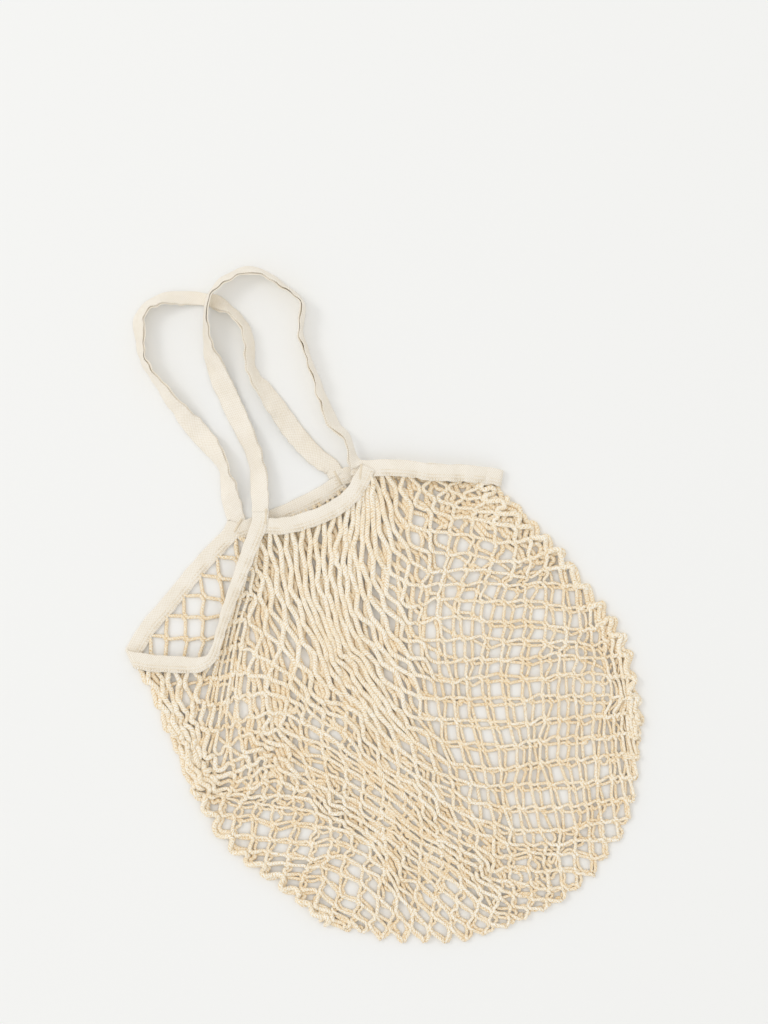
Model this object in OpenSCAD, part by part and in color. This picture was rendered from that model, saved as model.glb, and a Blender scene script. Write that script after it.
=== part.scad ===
// Mesh produce bag: a diamond net pouch with a tape-bound mouth and two long tape handles.
// It lies on its back face: +Z up, +Y from the base of the pouch towards the handles, +X across the mouth.
// The origin is under the middle of the whole object, on the surface it lies on.

/* [Net] */
// Thickness of one layer of net
net_t = 2.6; // [2:0.2:3.4]
// Clear height between the back layer and the front layer of net
inner_gap = 7.6; // [6:0.2:9]
// Width of the strip of net that turns from the front to the back round the outline
turn_w = 4; // [3:0.5:6]

/* [Binding tape] */
// Width of the tape that binds the mouth
binding_w = 14; // [12:0.5:16]
// Thickness of the folded binding tape
binding_t = 3; // [2.6:0.1:3.4]
// Width of a row of stitching
stitch_w = 0.8; // [0.6:0.1:1.2]
// Height of a row of stitching above the tape
stitch_h = 0.4; // [0.3:0.1:0.6]

/* [Handles] */
// Width of a handle strap
strap_w = 17; // [15:0.5:19]
// Thickness of the doubled handle strap
strap_t = 2.4; // [2:0.1:3]
// Length of a bar tack along the mouth
tack_l = 13; // [10:0.5:14]
// Width of a bar tack
tack_w = 2.2; // [1.5:0.1:3]

/* [Joint room] */
// Clearance on each side of the line where the front flap lifts
fold_room = 0.4; // [0.3:0.1:0.8]

/* [Hidden] */

// Heights: the front layer of net and the front tapes end level at the top
front_top = net_t + inner_gap + net_t;
front_net_z = front_top - net_t;
front_tape_z = front_top - binding_t;
net_butt = 0.1;

// Outline of the pouch, from the left fold of the mouth, round the base, to the right fold
left_fold = [-186, 42];
right_fold = [160, 41];
outline = [
    left_fold, [-180, 16], [-186, -30], [-190, -80], [-186, -120], [-176, -156], [-154, -202],
    [-126, -242], [-94, -271], [-58, -292], [-8, -306], [46, -306], [92, -295], [122, -278],
    [146, -252], [166, -208], [180, -168], [188, -126], [190, -88], [184, -36], [168, 14], right_fold
];

// The front rim dips to a corner just right of the left fold, where the tape turns up to the handle
rim_corner = [-125, 9];
left_dip_line = [left_fold, [-172, 31], [-154, 20], [-138, 11], [-122, 4]];
left_front_line = [[-132, 4], [-110, 27], [-94, 43], [-76, 60], [-56, 79], [-39, 95], [-32, 107]];
front_rim_line = [[-31, 90], [-20, 84], [0, 80], [24, 79], [42, 83], [57, 91]];
right_front_line = [
    [56, 107], [60, 97], [78, 90], [95, 80], [109, 70], [124, 63], [139, 55], [153, 47], right_fold
];

// Lines of the back rim
left_back_line = [
    left_fold, [-162, 58], [-143, 66], [-123, 75], [-101, 85], [-80, 93], [-62, 100], [-55, 109]
];
back_rim_line = [[-56, 97], [-36, 95], [-10, 94], [16, 94], [36, 96]];
right_back_line = [[37, 109], [42, 100], [62, 95], [82, 87], [96, 80], [116, 68], [138, 56], right_fold];

// Where the handle straps leave the two rims
front_root_y = 103.5;
back_root_y = 105;
root_room = 0.3;

// Rows of stitching are drawn along this part of each tape
stitch_from = 0.2;
stitch_to = 0.8;

// The front flap lifts about a line from the dipped corner to the right fold
flap_line = right_fold - rim_corner;
flap_angle = atan2(flap_line[1], flap_line[0]);

// Centre line of each handle, from the root on the left to the root on the right:
// [x, y, height of the strap's lower edge, turn]. At turn 0 the strap lies flat; at 90 it stands on edge.
front_handle_route = [
    [-32, 104, 10.4, 0], [-31.6, 109, 10.2, 0], [-28, 117, 8.6, 0], [-21, 134, 2.6, 2], [-17, 154, 0.5, 4],
    [-16, 190, 0.5, 6], [-15, 222, 0.6, 20], [-12, 247, 1.6, 60], [-5, 266, 3.6, 76], [6, 284, 4.2, 80],
    [24, 292, 3.6, 62], [42, 292, 1, 60], [54, 286, 0.6, 70], [63, 273, 0.5, 76], [70, 260, 0.5, 80],
    [75, 245, 0.5, 84], [63, 224, 0.5, 82], [58, 189, 0.5, 80], [54, 146, 0.6, 72], [59, 129, 4, 36],
    [57, 115, 9, 4], [56.2, 109, 10.2, 0], [56, 104, 10.4, 0]
];
back_handle_route = [
    [-55, 105.6, 0.5, 0], [-54.6, 111, 0.5, 0], [-53, 119, 0.5, 4], [-49, 135, 0.5, 40],
    [-45, 152, 0.5, 64], [-47, 170, 0.5, 32], [-51, 188, 0.5, 6], [-58, 212, 0.5, 10],
    [-62, 233, 0.5, 42], [-66, 259, 0.5, 76], [-60, 281, 0.5, 64], [-53, 295, 0.5, 38],
    [-40, 302, 0.5, 48], [-26, 300, 0.5, 24], [-10, 293, 0.5, 4], [5, 284, 0.5, 0],
    [14, 274, 0.5, 18], [20, 262, 0.5, 58], [23, 249, 0.5, 76], [19, 232, 0.5, 70],
    [12, 214, 0.5, 76], [16, 186, 0.5, 46], [21, 152, 0.5, 24], [28, 127, 0.5, 6],
    [35, 114, 0.5, 0], [36.8, 109.5, 0.5, 0], [37, 105.6, 0.5, 0]
];
curve_steps = 3;

// Point at fraction t of stretch i of a smooth curve through the points p
function curve_point(p, i, t) =
    let (a = p[max(i - 1, 0)], b = p[i], c = p[i + 1], d = p[min(i + 2, len(p) - 1)])
    b + 0.5 * t * (c - a) + 0.5 * t * t * (2 * a - 5 * b + 4 * c - d)
    + 0.5 * t * t * t * (3 * b - 3 * c + d - a);

// The whole smooth curve, ending on the last point
function smooth(p) = [
    for (i = [0:len(p) - 2], k = [0:curve_steps - 1]) curve_point(p, i, k / curve_steps),
    p[len(p) - 1]
];

// Unit direction of a line of points at point i
function heading(line, i) =
    let (d = line[min(i + 1, len(line) - 1)] - line[max(i - 1, 0)]) d / norm(d);

// The line moved sideways, to its left where the distance is positive
function beside(line, distance) = [
    for (i = [0:len(line) - 1])
        let (h = heading(line, i)) line[i] + distance * [-h[1], h[0]]
];

function backwards(list) = [for (i = [len(list) - 1:-1:0]) list[i]];

// The points of a line from one index to another
function points_from(line, first, last) = [for (i = [first:last]) line[i]];

// Part of a line between two fractions of its number of points
function stretch(line, from, to) =
    points_from(line, round(from * (len(line) - 1)), round(to * (len(line) - 1)));

// Flat ribbon of one width along a run of points
module ribbon(track, width, z, thick) {
    translate([0, 0, z])
        linear_extrude(height = thick)
            polygon(concat(beside(track, width / 2), backwards(beside(track, -width / 2))));
}

// Ribbon along the smooth curve through a line's points
module strip(line, width, z, thick) {
    ribbon(smooth(line), width, z, thick);
}

// Everything on the lifting side of the flap line, drawn back by the room given
module flap_side(room, z, thick) {
    translate([rim_corner[0], rim_corner[1], z])
        rotate([0, 0, flap_angle])
            translate([room, room, 0])
                cube([400, 200, thick]);
}

// One layer of net inside the turned edge and below a line of the mouth
module net_layer(mouth, z) {
    edge = beside(smooth(outline), turn_w + net_butt);
    translate([0, 0, z])
        linear_extrude(height = net_t)
            polygon(concat(edge, backwards(mouth)));
}

// Room that the two front folds of tape take out of the front net
module front_tape_room() {
    for (line = [left_dip_line, left_front_line, front_rim_line, right_front_line])
        strip(line, binding_w + 2 * net_butt, front_net_z - 1, net_t + 2);
}

// Lines of the mouth that the two layers of net are drawn up to, before the tapes take their room
front_mouth = concat(
    points_from(left_dip_line, 1, 3), [rim_corner], points_from(left_front_line, 1, 5),
    front_rim_line, points_from(right_front_line, 1, 7)
);
back_mouth = concat(points_from(left_back_line, 1, 6), back_rim_line, points_from(right_back_line, 1, 5));

module whole_front_net() {
    difference() {
        net_layer(front_mouth, front_net_z);
        front_tape_room();
    }
}

// Strip of net that turns up from the back layer to the front layer, over part of the outline
module turned_edge(from, to) {
    outer = stretch(smooth(outline), from, to);
    inner = stretch(beside(smooth(outline), turn_w), from, to);
    difference() {
        linear_extrude(height = front_top)
            polygon(concat(inner, backwards(outer)));
        for (line = [left_dip_line, left_back_line, right_back_line, right_front_line])
            strip(line, binding_w + 2 * net_butt, -1, front_top + 2);
    }
}

// Row of stitching on top of a tape, kept short of its ends
module stitching(line, tape_top) {
    ribbon(stretch(smooth(line), stitch_from, stitch_to), stitch_w, tape_top, stitch_h);
}

// Tape along one side of the mouth, cut straight where it goes on as a handle strap
module side_binding(line, z, root_y) {
    intersection() {
        strip(line, binding_w, z, binding_t);
        translate([-200, -100, z - 1]) cube([400, 100 + root_y - root_room, binding_t + 2]);
    }
}

// Tape along the middle of a rim, cut where the two side tapes cross it
module middle_binding(line, left_line, right_line, z) {
    difference() {
        strip(line, binding_w, z, binding_t);
        strip(left_line, binding_w + 2 * net_butt, z - 1, binding_t + 2);
        strip(right_line, binding_w + 2 * net_butt, z - 1, binding_t + 2);
    }
}

// Bar tack across a handle root
module tack(centre, turn, z) {
    translate([centre[0], centre[1], z])
        rotate([0, 0, turn])
            translate([-tack_l / 2, -tack_w / 2, 0])
                cube([tack_l, tack_w, stitch_h]);
}

// Corners of a strap's section at one place on its route, square to the way it runs
function strap_ring(route, i) =
    let (
        p = route[i],
        h = heading([for (q = route) [q[0], q[1]]], i),
        across = [-h[1] * cos(p[3]), h[0] * cos(p[3]), sin(p[3])],
        up = [h[1] * sin(p[3]), -h[0] * sin(p[3]), cos(p[3])],
        c = [p[0], p[1], p[2] + strap_w / 2 * sin(p[3]) + strap_t / 2 * cos(p[3])]
    )
    [
        c - across * strap_w / 2 - up * strap_t / 2, c + across * strap_w / 2 - up * strap_t / 2,
        c + across * strap_w / 2 + up * strap_t / 2, c - across * strap_w / 2 + up * strap_t / 2
    ];

// Strap carried along its route, one ring of four corners at each point of the smooth curve
module strap(points) {
    route = smooth(points);
    last = len(route) - 1;
    rings = [for (i = [0:last]) each strap_ring(route, i)];
    sides = [
        for (i = [0:last - 1], k = [0:3])
            each [
                [4 * i + k, 4 * i + 4 + k, 4 * i + 4 + (k + 1) % 4],
                [4 * i + k, 4 * i + 4 + (k + 1) % 4, 4 * i + (k + 1) % 4]
            ]
    ];
    ends = [[0, 1, 2, 3], [4 * last + 3, 4 * last + 2, 4 * last + 1, 4 * last]];
    polyhedron(points = rings, faces = concat(sides, ends));
}

module back_net() {
    color("tan")
        difference() {
            net_layer(back_mouth, 0);
            for (line = [left_back_line, back_rim_line, right_back_line])
                strip(line, binding_w + 2 * net_butt, -1, net_t + 2);
        }
}

module front_net() {
    color("wheat")
        difference() {
            whole_front_net();
            flap_side(-fold_room, front_net_z - 1, net_t + 2);
        }
}

module front_net_flap() {
    color("wheat")
        intersection() {
            whole_front_net();
            flap_side(fold_room, front_net_z - 1, net_t + 2);
        }
}

module side_net_left() {
    color("burlywood") turned_edge(0.03, 0.33);
}

module bottom_net_turn() {
    color("burlywood") turned_edge(0.33, 0.66);
}

module side_net_right() {
    color("burlywood") turned_edge(0.66, 0.97);
}

module back_rim_tape() {
    color("antiquewhite") middle_binding(back_rim_line, left_back_line, right_back_line, 0);
}

module left_binding_back() {
    color("antiquewhite") side_binding(left_back_line, 0, back_root_y);
}

module right_binding_back() {
    color("antiquewhite") side_binding(right_back_line, 0, back_root_y);
}

// Tape turning round the side fold from the back layer to the front layer
module fold_turn(back_line, front_line) {
    intersection() {
        strip(back_line, binding_w, binding_t, front_tape_z - binding_t);
        strip(front_line, binding_w, binding_t, front_tape_z - binding_t);
    }
}

module left_fold_turn() {
    color("linen") fold_turn([left_back_line[0], [-176, 48]], [left_dip_line[0], [-176, 35]]);
}

module right_fold_turn() {
    color("linen") fold_turn([right_fold, [150, 48]], [right_fold, [152, 44]]);
}

module left_binding_dip() {
    color("oldlace")
        difference() {
            strip(left_dip_line, binding_w, front_tape_z, binding_t);
            flap_side(-fold_room, front_tape_z - 1, binding_t + 2);
        }
}

module left_binding_front() {
    color("oldlace")
        intersection() {
            side_binding(left_front_line, front_tape_z, front_root_y);
            flap_side(fold_room, front_tape_z - 1, binding_t + 2);
        }
}

module front_rim_tape() {
    color("antiquewhite") middle_binding(front_rim_line, left_front_line, right_front_line, front_tape_z);
}

module right_binding_front() {
    color("oldlace")
        intersection() {
            side_binding(right_front_line, front_tape_z, front_root_y);
            flap_side(fold_room, front_tape_z - 1, binding_t + 2);
        }
}

module back_rim_stitching() {
    color("ivory") stitching(back_rim_line, binding_t);
}

module left_back_stitching() {
    color("ivory") stitching(left_back_line, binding_t);
}

module right_back_stitching() {
    color("ivory") stitching(right_back_line, binding_t);
}

module left_dip_stitching() {
    color("ivory") stitching(left_dip_line, front_top);
}

module front_rim_stitching() {
    color("ivory") stitching(front_rim_line, front_top);
}

module left_front_stitching() {
    color("ivory") stitching(left_front_line, front_top);
}

module right_front_stitching() {
    color("ivory") stitching(right_front_line, front_top);
}

module back_left_tack() {
    color("ivory") tack([-57, 101], 0, binding_t);
}

module back_right_tack() {
    color("ivory") tack([39, 101], 0, binding_t);
}

module front_left_tack() {
    color("ivory") tack([-34, 99], 0, front_top);
}

module front_right_tack() {
    color("ivory") tack([57, 99], 0, front_top);
}

module front_handle_strap() {
    color("linen") strap(front_handle_route);
}

module back_handle_strap() {
    color("linen") strap(back_handle_route);
}

back_net();
front_net();
side_net_left();
side_net_right();
bottom_net_turn();
front_net_flap();
back_rim_tape();
left_binding_back();
right_binding_back();
left_fold_turn();
right_fold_turn();
left_binding_dip();
front_rim_tape();
left_binding_front();
right_binding_front();
back_rim_stitching();
left_back_stitching();
right_back_stitching();
left_dip_stitching();
front_rim_stitching();
left_front_stitching();
right_front_stitching();
back_left_tack();
back_right_tack();
front_left_tack();
front_right_tack();
front_handle_strap();
back_handle_strap();
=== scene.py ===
"""Mesh produce bag: a cotton net whose mouth is bound, and whose two handles are made, with folded tape.

The net is laid out cord by cord, then let go: its knots stay tied, and cords that touch are pushed apart.
The tapes are folded strips along their sewn lines. The bag lies flat, its mouth a little open.
Lengths are in millimetres up to the moment a mesh is made, which is in metres.
"""

import math

import bpy
import numpy as np
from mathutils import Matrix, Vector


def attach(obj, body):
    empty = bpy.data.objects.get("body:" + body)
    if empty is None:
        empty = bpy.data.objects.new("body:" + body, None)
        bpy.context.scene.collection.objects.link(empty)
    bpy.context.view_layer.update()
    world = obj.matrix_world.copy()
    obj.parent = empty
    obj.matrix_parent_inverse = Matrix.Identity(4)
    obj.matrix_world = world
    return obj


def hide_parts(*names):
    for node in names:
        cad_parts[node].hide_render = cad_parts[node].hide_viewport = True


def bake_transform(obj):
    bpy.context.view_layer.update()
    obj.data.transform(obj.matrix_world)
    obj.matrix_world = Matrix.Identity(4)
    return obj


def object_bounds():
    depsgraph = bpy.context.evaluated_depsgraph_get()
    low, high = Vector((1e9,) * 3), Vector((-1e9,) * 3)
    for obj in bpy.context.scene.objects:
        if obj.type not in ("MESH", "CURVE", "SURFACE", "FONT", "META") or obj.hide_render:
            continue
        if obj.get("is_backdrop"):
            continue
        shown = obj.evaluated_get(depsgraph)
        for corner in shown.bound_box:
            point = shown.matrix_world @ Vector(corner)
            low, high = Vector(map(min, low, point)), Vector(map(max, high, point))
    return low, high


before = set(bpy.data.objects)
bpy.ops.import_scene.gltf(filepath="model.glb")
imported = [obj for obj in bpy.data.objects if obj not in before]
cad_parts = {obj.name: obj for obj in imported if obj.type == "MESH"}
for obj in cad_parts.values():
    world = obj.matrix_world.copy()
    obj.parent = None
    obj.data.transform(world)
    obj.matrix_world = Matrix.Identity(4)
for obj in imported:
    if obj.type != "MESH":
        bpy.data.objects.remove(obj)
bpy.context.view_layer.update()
MM = 0.001
UPPER_LEVEL = 8.0  # about the height of the upper layer of net


# ---------------------------------------------------------------- materials


def linear(colour):
    """An sRGB hex colour as linear RGBA: c/12.92 under 0.04045, and ((c + 0.055)/1.055)^2.4 above it."""
    c = np.array([int(colour[i : i + 2], 16) for i in (0, 2, 4)]) / 255
    return (*np.where(c < 0.04045, c / 12.92, ((c + 0.055) / 1.055) ** 2.4).tolist(), 1)


def add(tree, kind, settings=None, inputs=None):
    """Adds a node, sets its settings, and gives each input its value or links it to a socket."""
    node = tree.nodes.new(kind)
    for key, value in (settings or {}).items():
        setattr(node, key, value)
    for key, value in (inputs or {}).items():
        if isinstance(value, bpy.types.NodeSocket):
            tree.links.new(value, node.inputs[key])
        else:
            node.inputs[key].default_value = value
    return node


def cotton(name, roughness, sheen):
    """A bare cotton surface: its tree, its shader, and the piece's own UV map split into along and across."""
    material = bpy.data.materials.new(name)
    material.use_nodes = True
    tree = material.node_tree
    shader = tree.nodes["Principled BSDF"]
    shader.inputs["Roughness"].default_value = roughness
    shader.inputs["IOR"].default_value = 1.5
    shader.inputs["Specular IOR Level"].default_value = 0.25
    shader.inputs["Sheen Weight"].default_value = sheen
    shader.inputs["Sheen Roughness"].default_value = 0.5
    uv = add(tree, "ShaderNodeUVMap", {"uv_map": "along_across"})
    split = add(tree, "ShaderNodeSeparateXYZ", None, {0: uv.outputs[0]})
    return material, tree, shader, split.outputs[0], split.outputs[1]


def calc(tree, operation, first, second=0.0, third=0.0):
    """One step of arithmetic between sockets or numbers."""
    return add(tree, "ShaderNodeMath", {"operation": operation}, {0: first, 1: second, 2: third}).outputs[0]


def ramp(tree, factor, stops):
    """Colours between the stops, each a place from 0 to 1 and a hex colour."""
    node = add(tree, "ShaderNodeValToRGB", None, {0: factor})
    while len(node.color_ramp.elements) < len(stops):
        node.color_ramp.elements.new(0.5)
    for element, (place, colour) in zip(node.color_ramp.elements, stops):
        element.position = place
        element.color = linear(colour)
    return node.outputs[0]


def multiplied(tree, first, second):
    """One colour times another."""
    settings = {"data_type": "RGBA", "blend_type": "MULTIPLY"}
    return add(tree, "ShaderNodeMix", settings, {0: 1.0, 6: first, 7: second}).outputs[2]


def speckle(tree, size, detail=2.0, roughness=0.5):
    """Noise whose blotches are about size mm across, fixed in the piece's own space."""
    place = add(tree, "ShaderNodeTexCoord").outputs["Object"]
    node = add(
        tree,
        "ShaderNodeTexNoise",
        None,
        {"Vector": place, "Scale": 1 / (size * MM), "Detail": detail, "Roughness": roughness},
    )
    return node.outputs[0]


def chain_stitched_cotton_cord():
    """Unbleached cotton yarn, warp-knitted into a round cord of chain stitches.

    Each stitch is a V about 2.4 mm long, so the cord shows fine slanting loops with tan between them, painted
    shade and yarn tone together; short fibres stand up as a pale bloom, and the yarn turns from cream to
    straw a little here and there.
    The yarn is toned warmer low down, which stands in for light that bounces between the two layers of net.
    """
    material, tree, shader, along, round_it = cotton("chain_stitched_cotton_cord", 0.92, 0.35)
    fold = calc(tree, "ABSOLUTE", calc(tree, "SUBTRACT", round_it, 0.5))
    slant = calc(tree, "MULTIPLY_ADD", fold, 22.0, calc(tree, "MULTIPLY", along, 2 * math.pi / STITCH_LONG))
    loop = calc(tree, "MULTIPLY_ADD", calc(tree, "SINE", slant), 0.5, 0.5)
    fibre = speckle(tree, 1.3, 3.0, 0.7)
    blotch = speckle(tree, 26.0, 1.0)
    # The colour follows the same fibre noise and stitch loops as the bump, so the cord is painted darker tan
    # in its hollows and paler on its raised loops: painted shade over the yarn's own tone.
    shade = calc(tree, "MULTIPLY_ADD", fibre, 1.0, calc(tree, "MULTIPLY", loop, 0.16))
    yarn = ramp(tree, shade, [(0.36, "DCBD8A"), (0.48, "F4E1BD"), (0.6, "FEF5E3"), (0.74, "FFFEF8")])
    straw = ramp(tree, blotch, [(0.36, "FDF9F2"), (0.62, "FFFFFF")])
    place = add(tree, "ShaderNodeTexCoord")
    axes = add(tree, "ShaderNodeSeparateXYZ", None, {0: place.outputs["Object"]})
    level = calc(tree, "MULTIPLY", axes.outputs[2], 1 / (UPPER_LEVEL * MM))
    under = ramp(tree, level, [(0.24, "FAF1E2"), (0.62, "FFFFFF")])
    toned = multiplied(tree, multiplied(tree, yarn, straw), under)
    tree.links.new(toned, shader.inputs["Base Color"])
    height = calc(tree, "MULTIPLY_ADD", loop, 0.3, calc(tree, "MULTIPLY", fibre, 1.4))
    bump = add(tree, "ShaderNodeBump", None, {"Strength": 0.6, "Distance": 0.3 * MM, "Height": height})
    tree.links.new(bump.outputs[0], shader.inputs["Normal"])
    return material


def woven_cotton_tape(name, light, dark, rib):
    """Soft cotton tape, woven with fine cross ribs.

    The ribs are about 0.6 mm apart on the real tape and are drawn rib mm apart so that they show;
    they give the eye a matt cream band with a faint grain and slightly darker lengthwise lines.
    """
    material, tree, shader, along, across = cotton(name, 0.9, 0.25)
    cross = calc(tree, "SINE", calc(tree, "MULTIPLY", along, 2 * math.pi / rib))
    length = calc(tree, "SINE", calc(tree, "MULTIPLY", across, 2 * math.pi / (1.3 * rib)))
    weave = calc(tree, "MULTIPLY_ADD", calc(tree, "MULTIPLY", cross, length), 0.5, 0.5)
    fibre = speckle(tree, 1.4, 3.0, 0.6)
    blotch = speckle(tree, 18.0, 1.0)
    grain = calc(tree, "MULTIPLY_ADD", weave, 0.5, calc(tree, "MULTIPLY", fibre, 0.5))
    shade = calc(tree, "MULTIPLY_ADD", blotch, 0.25, calc(tree, "MULTIPLY", grain, 0.8))
    colour = ramp(tree, shade, [(0.25, dark), (0.7, light)])
    tree.links.new(colour, shader.inputs["Base Color"])
    height = calc(tree, "MULTIPLY_ADD", fibre, 0.6, weave)
    bump = add(tree, "ShaderNodeBump", None, {"Strength": 0.45, "Distance": 0.3 * MM, "Height": height})
    tree.links.new(bump.outputs[0], shader.inputs["Normal"])
    return material


def spun_cotton_thread():
    """Three-ply cotton sewing thread: a slightly darker cream line with slanting plies 0.8 mm apart."""
    material, tree, shader, along, round_it = cotton("spun_cotton_thread", 0.75, 0.15)
    slant = calc(tree, "MULTIPLY_ADD", round_it, 6.3, calc(tree, "MULTIPLY", along, 2 * math.pi / 0.8))
    ply = calc(tree, "MULTIPLY_ADD", calc(tree, "SINE", slant), 0.5, 0.5)
    tree.links.new(ramp(tree, ply, [(0.1, "E4D4B6"), (0.8, "F8EEDC")]), shader.inputs["Base Color"])
    bump = add(tree, "ShaderNodeBump", None, {"Strength": 0.4, "Distance": 0.1 * MM, "Height": ply})
    tree.links.new(bump.outputs[0], shader.inputs["Normal"])
    return material


def painted_board():
    """The pale matt board that the bag lies on: off-white, with no grain to see."""
    material = bpy.data.materials.new("painted_board")
    material.use_nodes = True
    shader = material.node_tree.nodes["Principled BSDF"]
    shader.inputs["Base Color"].default_value = linear("F4F4F2")
    shader.inputs["Roughness"].default_value = 0.9
    shader.inputs["Specular IOR Level"].default_value = 0.1
    return material


# ---------------------------------------------------------------- lines and meshes


def smooth(points, steps):
    """The curve through every point with the slope of its neighbours' chord, in so many steps a stretch."""
    p = np.asarray(points, float)
    p = np.concatenate([p[:1], p, p[-1:]])
    a, b, c, d = (p[i : len(p) - 3 + i, None, :] for i in range(4))
    t = (np.arange(steps) / steps)[None, :, None]
    curve = 0.5 * (2 * b + (c - a) * t + (2 * a - 5 * b + 4 * c - d) * t**2 + (3 * b - a - 3 * c + d) * t**3)
    return np.concatenate([curve.reshape(-1, p.shape[1]), p[-1:]])


def travelled(points):
    """The distance along a line of points, from its start to each."""
    return np.concatenate([[0], np.cumsum(np.linalg.norm(np.diff(points, axis=0), axis=1))])


def evenly(points, gap, columns=2):
    """The line again with points gap apart, measured on its first columns."""
    run = travelled(points[:, :columns])
    at = np.linspace(0, run[-1], max(2, int(round(run[-1] / gap)) + 1))
    return np.stack([np.interp(at, run, points[:, k]) for k in range(points.shape[1])], axis=1)


def unit(v):
    """Each vector divided by its length."""
    return v / np.maximum(np.linalg.norm(v, axis=-1, keepdims=True), 1e-9)


def make_piece(name, tubes, uv, material):
    """A mesh from closed tubes: points[tube, ring, corner], quads from ring to ring and a cap at each end.

    uv[tube, ring, corner or the first corner again] is the UV map along_across.
    """
    count, rings, sides = tubes.shape[:3]
    t, i, j = np.meshgrid(np.arange(count), np.arange(rings - 1), np.arange(sides), indexing="ij")
    k = (j + 1) % sides
    base = t * rings * sides
    here, there = base + i * sides, base + (i + 1) * sides
    quads = np.stack([here + j, here + k, there + k, there + j], -1)
    quad_uv = np.stack([uv[t, i, j], uv[t, i, j + 1], uv[t, i + 1, j + 1], uv[t, i + 1, j]], -2)
    tube = np.arange(count)[:, None] * rings * sides
    first = tube + np.arange(sides)[None, ::-1]
    last = tube + (rings - 1) * sides + np.arange(sides)[None, :]
    cap_uv = [uv[:, 0, sides - 1 :: -1], uv[:, -1, :sides]]
    corners = np.concatenate([quads.ravel(), first.ravel(), last.ravel()])
    sizes = np.concatenate([np.full(quads[..., 0].size, 4), np.full(2 * count, sides)])
    mesh = bpy.data.meshes.new(name)
    mesh.vertices.add(count * rings * sides)
    mesh.vertices.foreach_set("co", (tubes * MM).astype(np.float32).ravel())
    mesh.loops.add(len(corners))
    mesh.loops.foreach_set("vertex_index", corners.astype(np.int32))
    mesh.polygons.add(len(sizes))
    mesh.polygons.foreach_set("loop_start", (np.cumsum(sizes) - sizes).astype(np.int32))
    mesh.polygons.foreach_set("use_smooth", np.ones(len(sizes), bool))
    layer = mesh.uv_layers.new(name="along_across")
    flat_uv = np.concatenate([quad_uv.reshape(-1, 2), *(c.reshape(-1, 2) for c in cap_uv)])
    layer.data.foreach_set("uv", flat_uv.astype(np.float32).ravel())
    mesh.update(calc_edges=True)
    mesh.validate()
    mesh.materials.append(material)
    piece = bpy.data.objects.new(name, mesh)
    bpy.context.scene.collection.objects.link(piece)
    return piece


# ---------------------------------------------------------------- tapes

TAPE_THICK = 2.4  # the folded tape, both plies
PLY = 0.95
RING_GAP = 0.7  # between the rings of a tape's mesh
EDGE_STITCH = 1.0  # from the open edge to the thread that binds it
SEAM = 2.6  # from the open edge to the first sewn line
SECOND_SEAM = 5.2

# A crease turns a tape over to the other layer: a point on it, the way out of the bag, the bend's radius, and
# its lower level.
LEFT_CREASE = {"point": (-184, 40), "out": (-1, 0), "radius": 2.4, "level": 1.4}
RIGHT_CREASE = {"point": (158.5, 42), "out": (0.8, -0.6), "radius": 2.6, "level": 1.4}

# Every route's columns: x, y, height of the lower edge, turn about its own length in degrees, width.
BACK_LEFT = [
    [-184, 44, 0.2, 0, 14],
    [-162, 58, 0.2, 0, 14],
    [-143, 66, 0.2, 0, 14],
    [-123, 75, 0.2, 0, 14],
    [-101, 85, 0.2, 0, 14],
    [-80, 93, 0.2, 0, 14],
    [-64, 99, 0.2, 0, 14],
    [-56, 106, 0.3, 0, 15],
]
BACK_HANDLE = [
    [-54.6, 111, 0.5, 0, 15],
    [-53, 119, 0.5, -6, 16],
    [-49, 135, 0.5, -36, 16],
    [-45, 152, 0.5, -58, 16],
    [-47, 170, 0.5, -28, 17],
    [-51, 186, 0.5, -6, 17],
    [-58, 212, 0.5, -46, 17],
    [-62, 233, 0.5, -62, 17],
    [-66, 259, 0.5, -74, 17],
    [-60, 281, 0.5, -58, 17],
    [-53, 295, 0.5, -56, 17],
    [-40, 302, 0.5, -62, 16],
    [-26, 300, 0.5, -46, 15],
    [-10, 293, 0.5, -18, 12],
    [5, 284, 0.5, 0, 11],
    [14, 274, 0.5, -44, 14],
    [20, 262, 0.5, -66, 15],
    [23, 249, 0.5, -68, 16],
    [19, 232, 0.5, -64, 16],
    [12, 214, 0.5, -66, 16],
    [16, 186, 0.5, -34, 17],
    [21, 152, 0.5, -12, 17],
    [28, 127, 0.5, -6, 16],
    [35, 114, 0.5, 0, 15],
    [36.8, 109.5, 0.5, 0, 14],
    [37, 103, 0.5, 0, 13],
]
BACK_RIGHT = [
    [33, 102, 0.2, 0, 14],
    [42, 100, 0.2, 0, 14],
    [62, 95, 0.2, 0, 14],
    [82, 87, 0.2, 0, 14],
    [96, 80, 0.2, 0, 14],
    [116, 68, 0.2, 0, 14],
    [138, 56, 0.2, 0, 14],
    [158.5, 42, 0.2, 0, 14],
]
BACK_RIM = [
    [-60, 98, 0.4, 0, 14],
    [-36, 95, 0.3, 0, 14],
    [-10, 94, 0.3, 0, 14],
    [16, 94, 0.3, 0, 14],
    [40, 97, 0.4, 0, 14],
]
DIP = [
    [-184, 38.5, 5.0, 0, 14],
    [-172, 30, 5.6, 0, 14],
    [-154, 20, 6.8, 0, 14],
    [-140, 12.5, 7.6, 0, 13],
    [-129, 10.5, 8.2, 0, 10],
]
FRONT_LEFT = [
    [-120, 15, 8.4, 0, 8],
    [-108, 28, 8.8, 0, 8],
    [-94, 43, 9.4, 0, 9.5],
    [-76, 60, 9.9, 0, 11],
    [-56, 79, 10.2, 0, 12.5],
    [-40, 94, 10.4, 0, 13.5],
]
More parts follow.
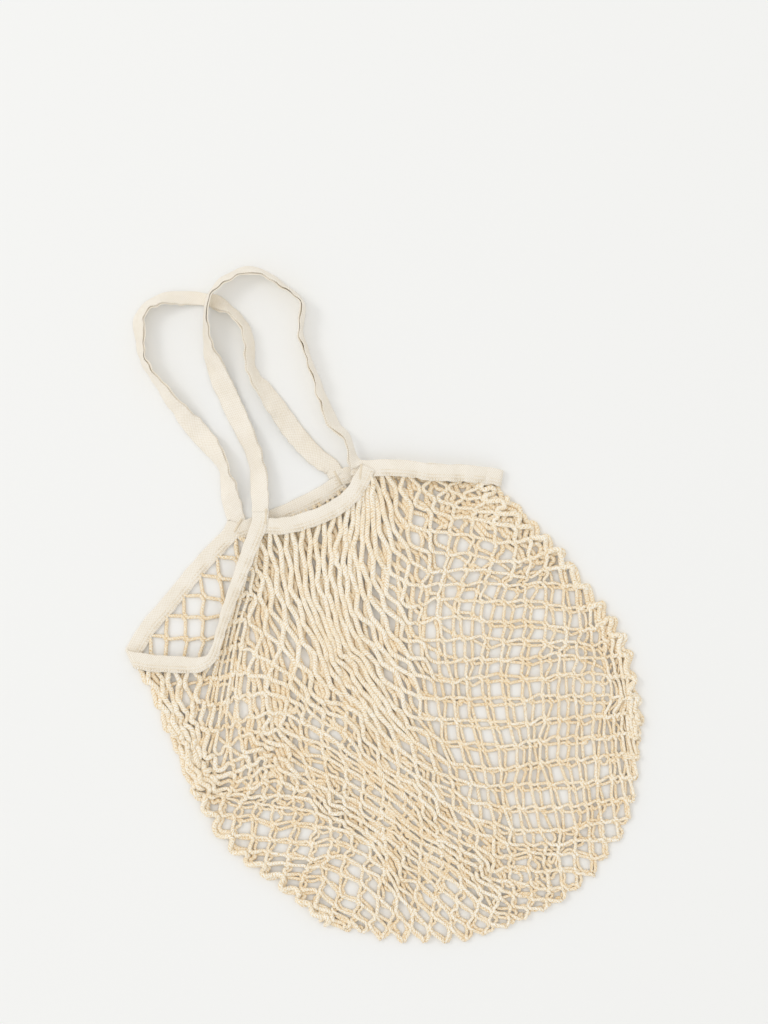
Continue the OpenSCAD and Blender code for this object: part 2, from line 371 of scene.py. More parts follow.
FRONT_HANDLE = [
    [-33, 105, 10.2, 0, 14],
    [-28, 117, 8.6, -8, 15],
    [-21, 134, 2.6, -30, 16],
    [-17, 154, 0.5, -34, 16],
    [-16, 190, 0.5, -8, 17],
    [-15, 222, 0.6, -20, 17],
    [-12, 247, 1.6, -60, 17],
    [-5, 266, 3.6, -76, 17],
    [6, 284, 4.2, -80, 17],
    [24, 292, 3.6, -68, 16],
    [42, 292, 1, -66, 16],
    [54, 286, 0.6, -70, 16],
    [63, 273, 0.5, -76, 17],
    [70, 260, 0.5, -80, 17],
    [75, 245, 0.5, -84, 17],
    [63, 224, 0.5, -82, 17],
    [58, 189, 0.5, -78, 17],
    [54, 146, 0.6, -60, 17],
    [59, 129, 3, -72, 15],
    [57, 115, 5, -66, 13],
    [56.2, 109, 7, -50, 12],
    [56, 102, 9.4, -12, 12],
]
FRONT_RIGHT = [
    [52, 104, 9.0, 0, 13],
    [61, 98, 9.4, 0, 14],
    [78, 90.5, 9.8, 0, 14],
    [95, 81, 9.8, 0, 14],
    [109, 71, 9.6, 0, 14],
    [124, 63, 9.2, 0, 14],
    [139, 55, 7.8, 0, 14],
    [151, 47.5, 6.2, 0, 14],
    [158.5, 42, 5.4, 0, 14],
]
FRONT_RIM = [
    [-36, 92, 9.6, 0, 13],
    [-22, 85, 9.8, 0, 14],
    [0, 80, 10, 0, 14],
    [24, 79, 10.1, 0, 14],
    [42, 83, 10.3, 0, 14],
    [55, 91, 10.8, 0, 14],
    [64, 98, 11.0, 0, 13],
]


def unfolded(route, crease):
    """A front-layer route as it lies on the back layer's plane, before the tape is turned at the crease."""
    rows = np.array(route, float)
    out, bend = np.array(crease["out"], float), crease["radius"]
    inside = (np.array(crease["point"]) - rows[:, :2]) @ out
    rows[:, :2] += (2 * inside + math.pi * bend)[:, None] * out
    rows[:, 2] = 2 * crease["level"] + 2 * bend - rows[:, 2] - TAPE_THICK
    return rows[::-1]


def turned_over(points, crease):
    """Rolls what lies beyond the crease half a turn round a cylinder, and back over the rest."""
    out, bend, level = np.array(crease["out"], float), crease["radius"], crease["level"]
    past = (points[..., :2] - np.array(crease["point"])) @ out
    angle = np.clip(past / bend, 0, math.pi)
    arm = bend - (points[..., 2] - level)
    back = arm * np.sin(angle) - np.maximum(past - math.pi * bend, 0) - np.maximum(past, 0)
    moved = points.copy()
    moved[..., :2] += back[..., None] * out
    moved[..., 2] = np.where(past > 0, level + bend - arm * np.cos(angle), points[..., 2])
    return moved


def strip(route, crease=None):
    """A tape's middle line with its sideways and upward directions, every half millimetre.

    Sideways is square to the plan heading and tips up by the turn; the middle is half the tipped width up.
    """
    line = evenly(smooth(route, 10), RING_GAP / 1.4)
    heading = unit(np.gradient(line[:, :2], axis=0))
    turn = np.radians(line[:, 3])
    c, s = np.cos(turn)[:, None], np.sin(turn)[:, None]
    square = np.stack([-heading[:, 1], heading[:, 0]], 1)
    height = line[:, 2] + line[:, 4] / 2 * np.abs(np.sin(turn)) + TAPE_THICK / 2 * np.cos(turn)
    middle = np.column_stack([line[:, :2], height])
    return {
        "run": travelled(middle),
        "middle": middle,
        "across": np.hstack([square * c, s]),
        "up": np.hstack([-square * s, c]),
        "wide": line[:, 4],
        "crease": crease,
    }


def on_strip(tape, run, side, rise):
    """The place on a tape that is run along it, side across it and rise above its middle."""

    def at(key):
        return np.stack([np.interp(run, tape["run"], tape[key][:, k]) for k in range(3)], -1)

    place = at("middle") + side[..., None] * at("across") + rise[..., None] * at("up")
    return turned_over(place, tape["crease"]) if tape["crease"] else place


def nearest_run(tape, x, y):
    """How far along a tape its middle comes nearest to a point in plan."""
    middle = on_strip(tape, tape["run"], np.zeros(len(tape["run"])), np.zeros(len(tape["run"])))
    return tape["run"][np.argmin(np.hypot(middle[:, 0] - x, middle[:, 1] - y))]


def slow_wave(run, seed, amount, period):
    """A wander of that amount along a line: five sine waves of about that period with random phases."""
    draw = np.random.default_rng(seed)
    total = 0
    for _ in range(5):
        total = total + np.sin(2 * math.pi * (run / (period * draw.uniform(0.6, 1.8)) + draw.uniform()))
    return amount * total / math.sqrt(5)


def folded_section():
    """A tape folded in two, as a closed loop anticlockwise: share of half width, rise, 1 on the outer faces.

    The fold is at +1. From it the loop runs along the upper ply, in through the open edge, round the inside
    of the fold, and back along the lower ply.
    """
    half = TAPE_THICK / 2
    flat = np.linspace(0.88, -1, 15)
    inner = np.linspace(-0.97, 0.8, 4)
    bend = np.linspace(-60, 60, 5)
    upper = [(a, half, 1.0) for a in flat]
    upper_in = [(-1.02, half - PLY / 2, 0.0)] + [(a, half - PLY, 0.0) for a in inner]
    lower_in = [(a, PLY - half, 0.0) for a in inner[::-1]] + [(-1.02, PLY / 2 - half, 0.0)]
    lower = [(a, -half, -1.0) for a in flat[::-1]]
    fold = [(0.88 + 0.12 * math.cos(math.radians(t)), half * math.sin(math.radians(t)), 0.0) for t in bend]
    return np.array(upper + upper_in + lower_in + lower + fold)


def tape_piece(name, tape, start, stop, material, seed, bound=True):
    """The folded tape from start to stop along its strip.

    Each face is raised by a low crown, pressed in along two sewn lines, and puckered every 2.3 mm at its open
    edge where it is bound over the net; a free handle's open edge wanders and its plies part a little.
    """
    rings = np.linspace(start, stop, max(4, int(round((stop - start) / RING_GAP)) + 1))
    share, rise, face = folded_section().T
    run = rings[:, None]
    share, rise, face = share[None, :], rise[None, :], face[None, :]
    wide = np.interp(run, tape["run"], tape["wide"])
    side = share * wide / 2
    from_open = side + wide / 2
    edge = np.exp(-((from_open / 3.2) ** 2))
    side = side + slow_wave(run, seed, 0.25, 18) * (share > 0.8)
    side = side + slow_wave(run, seed + 1, 0.35, 11) * (share < -0.9)
    crown = 0.22 * (1 - share**2)
    first_line = np.exp(-(((from_open - SEAM) / 0.55) ** 2))
    second_line = np.exp(-(((from_open - SECOND_SEAM) / 0.5) ** 2))
    sewn = 0.3 * (first_line + 0.8 * second_line)
    if bound:
        pucker = 0.3 * np.sin(2 * math.pi * run / 2.3 + 0.4 * from_open) * edge
        rise = rise + face * (crown - sewn + pucker) + slow_wave(run, seed + 2, 0.3, 16)
    else:
        part = np.maximum(0, slow_wave(run, seed + 3, 0.3, 23) + 0.08) * edge
        inner = np.sign(rise) * (face == 0)
        rise = rise + (face + inner) * part + face * crown
        rise = rise + slow_wave(run, seed + 2, 0.75, 17) * edge
        rise = rise - slow_wave(run, seed + 4, 0.4, 21) * (share > 0)
    points = on_strip(tape, run + 0 * side, side, rise)
    turn = np.concatenate([side, side[:, :1]], axis=1)
    uv = np.stack([run + 0 * turn, turn], -1)
    return make_piece(name, points[None], uv[None], material)


def thread_piece(name, rows, material, stitch=2.7, pitch=3.3, thick=0.34, cross=False):
    """Stitches along tapes as short bent beads, each dipping into the tape at both of its ends.

    Every row is a tape, the distance from its open edge, which face (1 or -1), and where it starts and stops.
    With cross the stitches lie across the tape, over its open edge.
    """
    beads, uvs = [], []
    station = np.array([-1, -0.82, 0, 0.82, 1.0])
    size = thick * np.array([0.3, 0.9, 1.0, 0.9, 0.3])
    lift = np.array([-0.55, -0.1, 0.2, -0.1, -0.55]) * thick
    angle = np.arange(6) * math.pi / 3
    for tape, from_open, face, start, stop in rows:
        run = np.arange(start, stop, pitch)[:, None]
        wide = np.interp(run, tape["run"], tape["wide"])
        offset = station[None, :] * stitch / 2
        along = run + (0 * offset if cross else offset)
        side = from_open - wide / 2 + (offset if cross else 0 * offset)
        rise = face * (TAPE_THICK / 2 + 0.12 + lift[None, :]) + 0 * along
        if cross:
            rise = rise - face * 1.0 * (station[None, :] < -0.5)
        here = on_strip(tape, along, side, rise)
        outward = unit(on_strip(tape, along, side, rise + 0.2 * face) - here)
        forward = unit(np.gradient(here, axis=1))
        beside = np.cross(outward, forward)
        c, s = np.cos(angle)[:, None], np.sin(angle)[:, None]
        round_it = c * outward[:, :, None] + s * np.cross(forward, outward)[:, :, None]
        ring = here[:, :, None] + size[None, :, None, None] * round_it
        beads.append(ring + 0 * beside[:, :, None])
        uv = np.stack(np.broadcast_arrays(along[:, :, None] + 0 * offset[:, :, None], np.arange(7) / 6), -1)
        uvs.append(uv)
    return make_piece(name, np.concatenate(beads), np.concatenate(uvs), material)


# ---------------------------------------------------------------- net

COLUMNS = 22  # meshes across one layer, from the left fold to the right fold
ROWS = 30  # rows of knots from the mouth to the bottom seam
PER = 6  # stretches of cord between two knots
SIDE = 16.4  # cord between two knots
CORD = 3.5  # the cord's thickness
SLACK = 1.02  # how much longer a cord is than its laid line, where that is short
STITCH_LONG = 2.4
STRANDS = 4 * COLUMNS
BEADS = ROWS * PER + 1
FULL_STEPS = 230
GUIDE_ROWS = [3, 6, 12, 18, 24]

# Where the meshes of the front layer lie: for each guide column, its place at each guide row, to 5 mm.
FRONT_GUIDES = {
    4: [(-145, -20), (-155, -55), (-125, -85), (-100, -135), (-80, -195)],
    6.5: [(-85, 40), (-100, 0), (-90, -70), (-70, -140), (-50, -215)],
    8.5: [(-50, 40), (-60, -10), (-55, -80), (-40, -160), (-20, -240)],
    12.5: [(-10, 30), (-15, -15), (-5, -100), (15, -185), (35, -250)],
    16.5: [(50, 45), (35, -5), (60, -70), (85, -140), (105, -210)],
    18.5: [(75, 40), (80, 5), (105, -55), (130, -120), (145, -180)],
    20.5: [(110, 40), (130, 5), (155, -50), (170, -115), (175, -160)],
}
LEFT_SIDE = [(-185, 0), (-185, -35), (-190, -85), (-185, -140), (-160, -190)]
RIGHT_SIDE = [(160, 25), (165, 5), (180, -35), (190, -85), (190, -135)]

# The back layer hangs from its own rim for two guide rows. Below them it lies a little lower and right of
# the front.
BACK_TOPS = {
    4: [(-90, 45), (-85, 15)],
    6.5: [(-50, 55), (-60, 15)],
    8.5: [(-30, 50), (-35, 5)],
    12.5: [(15, 45), (10, 0)],
    16.5: [(80, 55), (80, 20)],
    18.5: [(110, 40), (120, 10)],
    20.5: [(140, 25), (150, -5)],
}
BACK_SHIFT = (4, -5)
BACK_GUIDES = {
    column: top + [(x + BACK_SHIFT[0], y + BACK_SHIFT[1]) for x, y in FRONT_GUIDES[column][len(top) :]]
    for column, top in BACK_TOPS.items()
}
BOTTOM = [
    (-134, -230),
    (-126, -242),
    (-94, -271),
    (-58, -292),
    (-8, -304),
    (46, -304),
    (92, -294),
    (122, -277),
    (146, -252),
    (166, -208),
    (172, -192),
]


def share_along(points, share):
    """The place at each share of a line's length."""
    run = travelled(points)
    return np.stack([np.interp(share * run[-1], run, points[:, k]) for k in range(points.shape[1])], -1)


def sewn_edge(sections, column):
    """Where each column's cord is sewn in: a third of the width off its tape's middle, towards the net.

    A section is its first and last column, its tape's route, and how the columns crowd: over 1 to its start.
    """
    place = np.zeros(column.shape + (3,))
    for first, last, route, crowd in sections:
        tape = strip(route)
        line = on_strip(tape, tape["run"], -0.33 * tape["wide"], np.zeros(len(tape["run"])))
        inside = (column >= first) & ((column < last) | (last == COLUMNS))
        place[inside] = share_along(line, ((column[inside] - first) / (last - first)) ** crowd)
    return place


def eased(values, knots, at):
    """A smooth curve through values at the knots, with a slope at each between its neighbours' slopes."""
    knots = np.asarray(knots, float)
    gap = np.diff(knots).reshape(-1, *[1] * (values.ndim - 1))
    slope = np.diff(values, axis=0) / gap
    share = gap[1:] / (gap[1:] + gap[:-1])
    lean = np.concatenate([slope[:1], share * slope[:-1] + (1 - share) * slope[1:], slope[-1:]])
    i = np.clip(np.searchsorted(knots, at, side="right") - 1, 0, len(knots) - 2)
    step = gap[i]
    t = (at - knots[i]).reshape(step.shape) / step
    return (
        (2 * t**3 - 3 * t**2 + 1) * values[i]
        + (t**3 - 2 * t**2 + t) * step * lean[i]
        + (3 * t**2 - 2 * t**3) * values[i + 1]
        + (t**3 - t**2) * step * lean[i + 1]
    )


def laid_layer(guides, sections, column, row):
    """Where the net lies at a column and a row: eased across the guide columns, then down the rows."""
    fine = np.arange(0, COLUMNS + 1e-9, 0.25)
    knots = [0, *sorted(guides), COLUMNS]
    lines = np.array([LEFT_SIDE, *(guides[k] for k in sorted(guides)), RIGHT_SIDE], float)
    across = eased(lines, knots, fine)
    top = sewn_edge(sections, fine)
    low = share_along(np.array(BOTTOM, float), fine / COLUMNS)
    down = np.concatenate([top[:, None, :2], across, low[:, None]], 1).swapaxes(0, 1)
    sheet = eased(down, [0, *GUIDE_ROWS, ROWS], np.linspace(0, ROWS, 4 * ROWS + 1))
    i = np.clip((4 * row).astype(int), 0, 4 * ROWS - 1)
    j = np.clip((4 * column).astype(int), 0, 4 * COLUMNS - 1)
    a, b = (4 * row - i)[:, None], (4 * column - j)[:, None]
    near = sheet[i, j] * (1 - b) + sheet[i, j + 1] * b
    far = sheet[i + 1, j] * (1 - b) + sheet[i + 1, j + 1] * b
    height = np.interp(column, fine, top[:, 2])
    return near * (1 - a) + far * a, height


def wandered(place, seed, amount, scale):
    """A slow wander over the plane: fourteen plane waves of about that scale, each pushing its own way."""
    draw = np.random.default_rng(seed)
    move = np.zeros_like(place)
    for _ in range(14):
        heading = draw.uniform(0, 2 * math.pi)
        wave = 2 * math.pi / (scale * draw.uniform(0.6, 1.7))
        wave = wave * np.array([math.cos(heading), math.sin(heading)])
        phase = draw.uniform(0, 2 * math.pi)
        move += np.sin(place @ wave + phase)[:, None] * draw.normal(size=2) * amount / math.sqrt(14)
    return move


def laid_net():
    """Every cord's beads before the net is let go.

    Cord s zigzags about column s/2 + 1/4. At an even row it meets one neighbour and at an odd row the other,
    so the meshes are diamonds. Columns past the right fold run back across the back layer.
    """
    row = np.arange(BEADS) / PER
    s = np.arange(STRANDS)
    mean = 0.5 * s + 0.25
    at_even = np.where(s % 2 == 0, mean - 0.25, mean + 0.25)
    at_odd = np.where(s % 2 == 0, mean + 0.25, mean - 0.25)
    even = np.abs(1 - row % 2)
    column = at_odd[:, None] * (1 - even) + at_even[:, None] * even
    column = column + 0.06 * np.sign(mean[:, None] - column)
    rows = np.broadcast_to(row, column.shape).ravel()
    column = np.mod(column, 2 * COLUMNS).ravel()
    front = column < COLUMNS
    column = np.where(front, column, 2 * COLUMNS - column)
    front_sections = [
        (0, 4, DIP, 1.0),
        (4, 8.5, DIP[-1:] + FRONT_LEFT, 0.9),
        (8.5, 16.5, FRONT_RIM, 1.0),
        (16.5, COLUMNS, FRONT_RIGHT[1:], 1.5),
    ]
    back_sections = [
        (0, 6, BACK_LEFT[:-1], 1.0),
        (6, 14.5, BACK_RIM, 1.0),
        (14.5, COLUMNS, BACK_RIGHT[1:], 1.0),
    ]
    over, over_z = laid_layer(FRONT_GUIDES, front_sections, column, rows)
    under, under_z = laid_layer(BACK_GUIDES, back_sections, column, rows)
    free = np.clip(rows / 3, 0, 1) * np.clip((ROWS - rows) / 3, 0.3, 1)
    inner = np.clip(np.minimum(column, COLUMNS - column) / 1.5, 0, 1)
    shared = 5.0 * (free * inner)[:, None]
    own = 4.0 * (free * inner)[:, None]
    over = over + shared * wandered(over, 6, 1.0, 50) + own * wandered(over, 7, 1.0, 30)
    under = under + shared * wandered(under, 6, 1.0, 50) + own * wandered(under, 8, 1.0, 30)
    deep = np.clip(np.minimum(column, COLUMNS - column), 0, 1)
    root = np.clip(1 - rows / 2, 0, 1)
    over_z = over_z * root + (4.5 + 3.5 * deep) * (1 - root)
    under_z = under_z * root + (4.5 - 2.6 * deep) * (1 - root)
    place = np.where(front[:, None], over, under)
    height = np.where(front, over_z, under_z)
    return np.column_stack([place, height]).reshape(STRANDS, BEADS, 3)


def close_pairs(beads, reach):
    """Every two beads nearer than reach, found by sorting them into cubes of that size."""
    cell = np.floor((beads - beads.min(0)) / reach).astype(np.int64) + 1
    size = cell.max(0) + 2
    key = (cell[:, 0] * size[1] + cell[:, 1]) * size[2] + cell[:, 2]
    order = np.argsort(key, kind="stable")
    ranked = key[order]
    firsts, seconds = [], []
    for dx in (-1, 0, 1):
        for dy in (-1, 0, 1):
            for dz in (-1, 0, 1):
                step = (dx * size[1] + dy) * size[2] + dz
                if step < 0:
                    continue
                low = np.searchsorted(ranked, ranked + step, "left")
                high = np.searchsorted(ranked, ranked + step, "right")
                if step == 0:
                    low = np.arange(len(ranked)) + 1
                count = np.maximum(high - low, 0)
                first = np.repeat(np.arange(len(ranked)), count)
                begun = np.concatenate([[0], np.cumsum(count)[:-1]])
                second = np.repeat(low - begun, count) + np.arange(count.sum())
                firsts.append(order[first])
                seconds.append(order[second])
    a, b = np.concatenate(firsts), np.concatenate(seconds)
    near = ((beads[a] - beads[b]) ** 2).sum(1) < reach * reach
    return a[near], b[near]


def hold(a, b, low, high, share=0.5):
    """How far to move a towards b, and b towards a, so that their distance comes between low and high."""
    apart = b - a
    length = np.sqrt((apart * apart).sum(-1, keepdims=True)) + 1e-9
    return share * (length - np.clip(length, low, high)) / length * apart


def plumpness(net):
    """How thick the cord is at each bead, as a share of CORD: fuller in the gathers, less in open mesh."""
    apart = 0.5 * np.linalg.norm(np.roll(net, -2, 0) - np.roll(net, 2, 0), axis=2)
    full = (2.45 - 0.07 * apart) * np.interp(np.arange(BEADS) / PER, [8, 15], [1.0, 0.66])
    full = np.clip(full, 0.77, 1.3)
    return np.array([np.convolve(np.pad(row, 4, "edge"), np.ones(9) / 9, "valid") for row in full])


def let_go(net, steps):
    """Lets the laid net settle: beads stay spaced, knots stay tied, and touching cords are pushed apart.

    Each step pulls every bead a little towards its laid place and down, then corrects, in turn, the spacing
    along each cord, its bend, the ties at each knot, the bottom seam, and every two beads nearer than the
    cord is thick. A mesh side's cord is SLACK times its laid line, from about a third of SIDE up to SIDE, so
    crowded places have less cord instead of a heap.
    """
    laid = net.copy()
    cell = np.linalg.norm(np.diff(net, axis=1), axis=2).reshape(STRANDS, ROWS, PER).sum(2)
    gap = np.repeat(np.clip(SLACK * cell, 0.32 * SIDE, SIDE) / PER, PER, axis=1)[..., None]
    strand = np.repeat(np.arange(STRANDS), BEADS)
    bead = np.tile(np.arange(BEADS), STRANDS)
    mate = STRANDS - 1 - np.arange(STRANDS)
    thick = 0.48 * CORD * plumpness(net)
    # Each pass: its first bead, its reach in beads, the least and greatest spacing, and its strength.
    spacing = [(0, 1, 1, 1, 0.5), (1, 1, 1, 1, 0.5)]
    bending = [(k, 2, 1.9, 99, 0.25) for k in range(4)]
    for step in range(steps):
        net[:, 1:, 2] -= 0.05
        net[..., :2] += (0.02 * (1 - step / steps) + 0.003) * (laid[..., :2] - net[..., :2])
        for _ in range(3):
            for first, reach, low, high, share in spacing + bending:
                stride = 2 * reach
                a, b = net[:, first:-reach:stride], net[:, first + reach :: stride]
                m = min(a.shape[1], b.shape[1])
                a, b, g = a[:, :m], b[:, :m], gap[:, first::stride][:, :m]
                move = hold(a, b, low * g, high * g, share)
                a += move
                b -= move
            for row in range(ROWS + 1):
                for beside, loose in ((0, 1.0), (-1, 1.3), (1, 1.3)):
                    k = row * PER + beside
                    if not 1 <= k < BEADS:
                        continue
                    left = net[1::2, k] if row % 2 == 0 else net[0::2, k]
                    right = np.roll(net[0::2, k], -1, axis=0) if row % 2 == 0 else net[1::2, k]
                    tie = 1.8 * thick[1 - row % 2 :: 2, k, None]
                    move = hold(left, right, tie, tie * loose)
                    left += move
                    if row % 2 == 0:
                        net[0::2, k] -= np.roll(move, 1, axis=0)
                    else:
                        right -= move
            net[:, 0] = laid[:, 0]
            ends = net[:, -1]
            net[:, -1] = ends + 0.25 * (ends[mate] - ends)
        flat = net.reshape(-1, 3)
        if step % 8 == 0:
            one, two = close_pairs(flat, 1.5 * CORD)
            apart = ~((strand[one] == strand[two]) & (np.abs(bead[one] - bead[two]) <= 2))
            one, two = one[apart], two[apart]
        between = flat[one] - flat[two]
        length = np.sqrt((between * between).sum(1)) + 1e-9
        short = thick.ravel()[one] + thick.ravel()[two] - length
        hit = short > 0
        near, far = one[hit], two[hit]
        push = (0.4 * short[hit] / length[hit])[:, None] * between[hit]
        near_push = [np.bincount(near, push[:, j], len(flat)) for j in range(3)]
        far_push = [np.bincount(far, push[:, j], len(flat)) for j in range(3)]
        total = np.stack(near_push, 1) - np.stack(far_push, 1)
        count = np.bincount(near, minlength=len(flat)) + np.bincount(far, minlength=len(flat))
        flat += total / np.maximum(1, 0.5 * count)[:, None]
        flat[:, 2] = np.maximum(flat[:, 2], CORD / 2)
        net = flat.reshape(STRANDS, BEADS, 3)
    return net


def net_piece(name, net, strands, material):
    """The chain-stitched cords of some strands, as tubes round smooth curves through their beads.

    At angle t round the cord and u along it the radius is R (1 + 0.04 sin(2 pi u / 2.4 mm + 4 |t|)), less a
    groove along t = 0, so each stitch stands out as a V. The cord turns slowly about its length, thins at
    its sewn ends, and is fuller in the gathers near the mouth than where the mesh is open.
    """
    sub, sides = 3, 8
    beads = net[strands]
    padded = np.concatenate([2 * beads[:, :1] - beads[:, 1:2], beads, 2 * beads[:, -1:] - beads[:, -2:-1]], 1)
    t = (np.arange(sub) / sub)[None, None, :, None]
    a, b, c, d = (padded[:, i : i + BEADS - 1, None] for i in range(4))
    curve = 0.5 * (2 * b + (c - a) * t + (2 * a - 5 * b + 4 * c - d) * t**2 + (3 * b - a - 3 * c + d) * t**3)
    line = np.concatenate([curve.reshape(len(strands), -1, 3), beads[:, -1:]], 1)
    forward = unit(np.gradient(line, axis=1))
    beside = unit(np.stack([-forward[..., 1], forward[..., 0], 1e-3 + 0 * forward[..., 0]], -1))
    upward = np.cross(forward, beside)
    beside = np.cross(upward, forward)
    step = np.linalg.norm(np.diff(line, axis=1), axis=2)
    run = np.concatenate([np.zeros((len(strands), 1)), np.cumsum(step, 1)], 1)
    draw = np.random.default_rng(20 + strands[0])
    phase, spin = draw.uniform(0, 2 * math.pi, (2, len(strands), 1, 1))
    rate = draw.uniform(0.02, 0.07, (len(strands), 1, 1))
    corner = np.arange(sides + 1) * 2 * math.pi / sides - math.pi
    u = run[..., None]
    lobe = np.sin(2 * math.pi * u / STITCH_LONG + 4.0 * np.abs(corner) + phase)
    groove = np.exp(-((corner / 0.5) ** 2))
    place = np.linspace(0, BEADS - 1, line.shape[1])
    plump = np.array([np.interp(place, np.arange(BEADS), row) for row in plumpness(net)[strands]])
    ends = np.minimum(u, 1.5 * (run[:, -1:, None] - u + 4))
    thin = 0.62 + 0.38 * np.clip(ends / 7, 0, 1)
    radius = 0.5 * CORD * (1.01 + 0.04 * lobe - 0.06 * groove) * thin * plump[..., None]
    angle = corner + spin + 2.0 * np.sin(rate * u + phase)
    ring = (radius * np.cos(angle))[..., None] * beside[:, :, None]
    ring = ring + (radius * np.sin(angle))[..., None] * upward[:, :, None]
    points = (line[:, :, None] + ring)[:, :, :sides]
    uv = np.stack(np.broadcast_arrays(u + phase / 2, (corner + math.pi) / (2 * math.pi)), -1)
    return make_piece(name, points, uv, material)


# ---------------------------------------------------------------- the bag

cord_cotton = chain_stitched_cotton_cord()
binding_cotton = woven_cotton_tape("soft_woven_binding_tape", "FBF5EA", "E6DAC4", 1.8)
handle_cotton = woven_cotton_tape("soft_woven_handle_tape", "FBF5EA", "E6DAC4", 1.8)
thread_cotton = spun_cotton_thread()

net = laid_net()
net = let_go(net, FULL_STEPS)

pieces = {}
for name, first, last, blends, nodes in (
    ("front_net_under_dip", 0, 8, False, ["front_net"]),
    ("front_net_left", 8, 17, True, ["front_net_flap"]),
    ("front_net_gathers", 17, 33, True, ["front_net_flap"]),
    ("front_net_right", 33, 44, True, ["front_net_flap"]),
    ("back_net_right", 44, 59, False, ["back_net", "side_net_right"]),
    ("back_net_middle", 59, 76, False, ["back_net", "bottom_net_turn"]),
    ("back_net_left", 76, 88, False, ["back_net", "side_net_left"]),
):
    piece = net_piece(name, net, np.arange(first, last), cord_cotton)
    if blends:
        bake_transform(piece)
    else:
        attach(piece, "bag")
    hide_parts(*nodes)
    pieces[name] = piece

left_binding = strip(np.concatenate([unfolded(DIP, LEFT_CREASE), BACK_LEFT, BACK_HANDLE[:3]]), LEFT_CREASE)
right_binding = strip(np.concatenate([BACK_RIGHT, unfolded(FRONT_RIGHT[-4:], RIGHT_CREASE)]), RIGHT_CREASE)
front_left_binding = strip(DIP[-2:] + FRONT_LEFT + FRONT_HANDLE[:3])
front_right_binding = strip(FRONT_RIGHT)
front_handle = strip(FRONT_LEFT[-2:] + FRONT_HANDLE)
back_handle = strip(BACK_LEFT[-2:] + BACK_HANDLE)
front_rim = strip(FRONT_RIM)
back_rim = strip(BACK_RIM)


def whole(tape):
    """A strip from end to end."""
    return 0, tape["run"][-1]


def seam_rows(tape, start, stop):
    """The sewn lines of a bound tape on both of its faces."""
    return [(tape, edge, face, start + 2, stop - 2) for edge in (SEAM, SECOND_SEAM) for face in (1, -1)]


def edge_rows(tape, start, stop):
    """The cross stitches over a bound tape's open edge on both of its faces."""
    return [(tape, EDGE_STITCH, face, start + 2, stop - 2) for face in (1, -1)]


for name, tape, start, stop, seed, ride, nodes, thread_nodes in (
    (
        "left_binding_tape",
        left_binding,
        nearest_run(left_binding, -129, 10.5),
        nearest_run(left_binding, -55.5, 105),
        1,
        "bag",
        ["left_binding_dip", "left_fold_turn", "left_binding_back"],
        ["left_back_stitching", "left_dip_stitching"],
    ),
    (
        "right_binding_tape",
        right_binding,
        0,
        nearest_run(right_binding, 150, 48.2),
        2,
        "bag",
        ["right_binding_back", "right_fold_turn"],
        ["right_back_stitching"],
    ),
    ("back_middle_tape", back_rim, *whole(back_rim), 3, "bag", ["back_rim_tape"], ["back_rim_stitching"]),
    (
        "front_left_binding_tape",
        front_left_binding,
        nearest_run(front_left_binding, -130, 10.5),
        nearest_run(front_left_binding, -33.4, 103.5),
        4,
        "front_flap",
        ["left_binding_front"],
        ["left_front_stitching"],
    ),
    (
        "front_right_binding_tape",
        front_right_binding,
        0,
        nearest_run(front_right_binding, 151, 47.5),
        5,
        "front_flap",
        ["right_binding_front"],
        ["right_front_stitching"],
    ),
    (
        "front_middle_tape",
        front_rim,
        *whole(front_rim),
        6,
        "front_flap",
        ["front_rim_tape"],
        ["front_rim_stitching"],
    ),
):
    band = tape_piece(name, tape, start, stop, binding_cotton, 100 * seed)
    seams = thread_piece(name.replace("_tape", "_seams"), seam_rows(tape, start, stop), thread_cotton)
    edging = thread_piece(
        name.replace("_tape", "_edging"), edge_rows(tape, start, stop), thread_cotton, 2.2, 2.3, 0.38, True
    )
    for piece in (band, seams, edging):
        if ride == "bag":
            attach(piece, "bag")
        else:
            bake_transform(piece)
    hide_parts(*nodes)
    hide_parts(*thread_nodes)
    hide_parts(*thread_nodes)

for name, tape, start, stop, bodies, low, high, seed, node in (
    (
        "front_handle_tape",
        front_handle,
        nearest_run(front_handle, -33.4, 103.5),
        front_handle["run"][-1],
        ("front_flap", "front_handle"),
        (0.012, 0.1035, 0.0128),
        (0.012, 0.118, 0.0128),
        7,
        "front_handle_strap",
    ),
    (
        "back_handle_tape",
        back_handle,
        nearest_run(back_handle, -55.5, 105),
        back_handle["run"][-1],
        ("bag", "back_handle"),
        (-0.009, 0.105, 0.003),
        (-0.009, 0.118, 0.003),
        8,
        "back_handle_strap",
    ),
):
    band = tape_piece(name, tape, start, stop, handle_cotton, 100 * seed, bound=False)
    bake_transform(band)
    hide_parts(node)


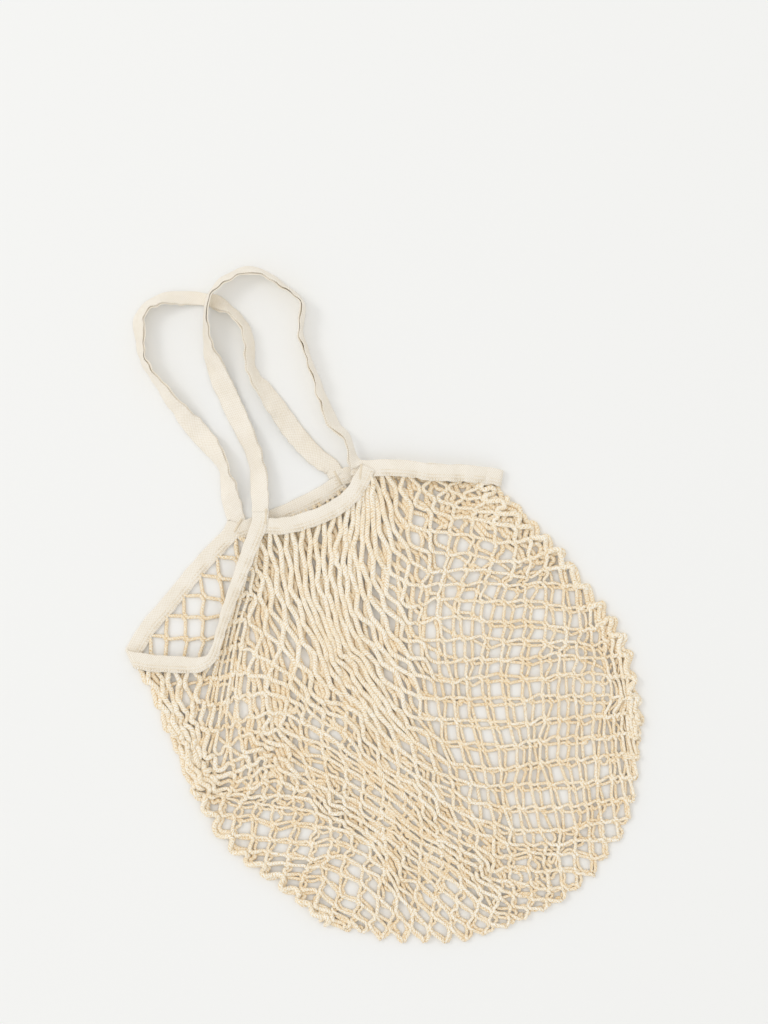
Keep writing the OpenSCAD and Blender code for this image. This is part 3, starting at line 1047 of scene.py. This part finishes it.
def bar_tack(name, x, y, level, angle, material):
    """Twenty-two close threads across a seam: a bar 13 mm long and 2.2 mm wide, at that level and angle."""
    count = 22
    heading = np.array([math.cos(angle), math.sin(angle)])
    square = np.array([-heading[1], heading[0]])
    place = np.linspace(-6.2, 6.2, count)
    station = np.array([-1, -0.8, 0, 0.8, 1.0])
    size = np.array([0.1, 0.3, 0.34, 0.3, 0.1])
    lean = 0.3 * np.where(np.arange(count) % 2 == 0, 1, -1)
    along = place[:, None] + lean[:, None] * station
    middle = along[..., None] * heading + (1.1 * station)[None, :, None] * square + np.array([x, y])
    height = level + np.array([-0.3, 0, 0.12, 0, -0.3]) + 0 * along
    here = np.concatenate([middle, height[..., None]], -1)
    forward = unit(np.gradient(here, axis=1))
    upward = np.broadcast_to([0, 0, 1.0], forward.shape)
    sideways = np.cross(forward, upward)
    turn = np.arange(6) * math.pi / 3
    c, s = np.cos(turn)[:, None], np.sin(turn)[:, None]
    ring = here[:, :, None] + size[None, :, None, None] * (c * upward[:, :, None] + s * sideways[:, :, None])
    uv = np.stack(np.broadcast_arrays(station[None, :, None] + 0 * along[..., None], np.arange(7) / 6), -1)
    return make_piece(name, ring, uv, material)


for name, x, y, level, angle, flap, node in (
    ("front_left_bar_tack", -31, 98, 13.0, 1.1, True, "front_left_tack"),
    ("front_right_bar_tack", 57, 97, 13.6, 1.0, True, "front_right_tack"),
    ("back_left_bar_tack", -56, 102, 3.0, 0.6, False, "back_left_tack"),
    ("back_right_bar_tack", 37, 101, 3.0, 1.6, False, "back_right_tack"),
):
    tack = bar_tack(name, x, y, level, angle, thread_cotton)
    if flap:
        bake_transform(tack)
    else:
        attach(tack, "bag")
    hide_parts(node)


# ---------------------------------------------------------------- floor, light, camera

board = bpy.data.meshes.new("board")
board.from_pydata([(-4, -4, 0), (4, -4, 0), (4, 4, 0), (-4, 4, 0)], [], [(0, 1, 2, 3)])
board.materials.append(painted_board())
floor = bpy.data.objects.new("board", board)
floor.location.z = -0.0001
bpy.context.scene.collection.objects.link(floor)
floor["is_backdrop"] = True

world = bpy.data.worlds.new("studio")
bpy.context.scene.world = world
world.use_nodes = True
world.node_tree.nodes["Background"].inputs[0].default_value = linear("FDFDFD")
world.node_tree.nodes["Background"].inputs[1].default_value = 0.865

for name, place, power, size in (
    ("window", (-2.6, 3.2, 4.2), 50, 1.6),
    ("soft_box", (0.05, 0.06, 4.5), 9, 1.5),
):
    lamp = bpy.data.lights.new(name, "AREA")
    lamp.energy = power
    lamp.size = size
    lamp.color = linear("FFFFFE")[:3]
    holder = bpy.data.objects.new(name, lamp)
    holder.location = place
    aim = np.array([0.05, 0.0, 0]) - np.array(place)
    level = math.hypot(aim[0], aim[1])
    holder.rotation_euler = (math.atan2(level, -aim[2]), 0, math.atan2(aim[1], aim[0]) - math.pi / 2)
    bpy.context.scene.collection.objects.link(holder)

camera = bpy.data.cameras.new("camera")
camera.lens = 70
camera.sensor_width = 36
camera.clip_end = 20
watcher = bpy.data.objects.new("camera", camera)
watcher.location = (0.0595, 0.058, 1.682)
watcher.rotation_euler = (0, 0, math.radians(-26.1))
bpy.context.scene.collection.objects.link(watcher)
bpy.context.scene.camera = watcher
bpy.context.scene.view_settings.view_transform = "Standard"

low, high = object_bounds()
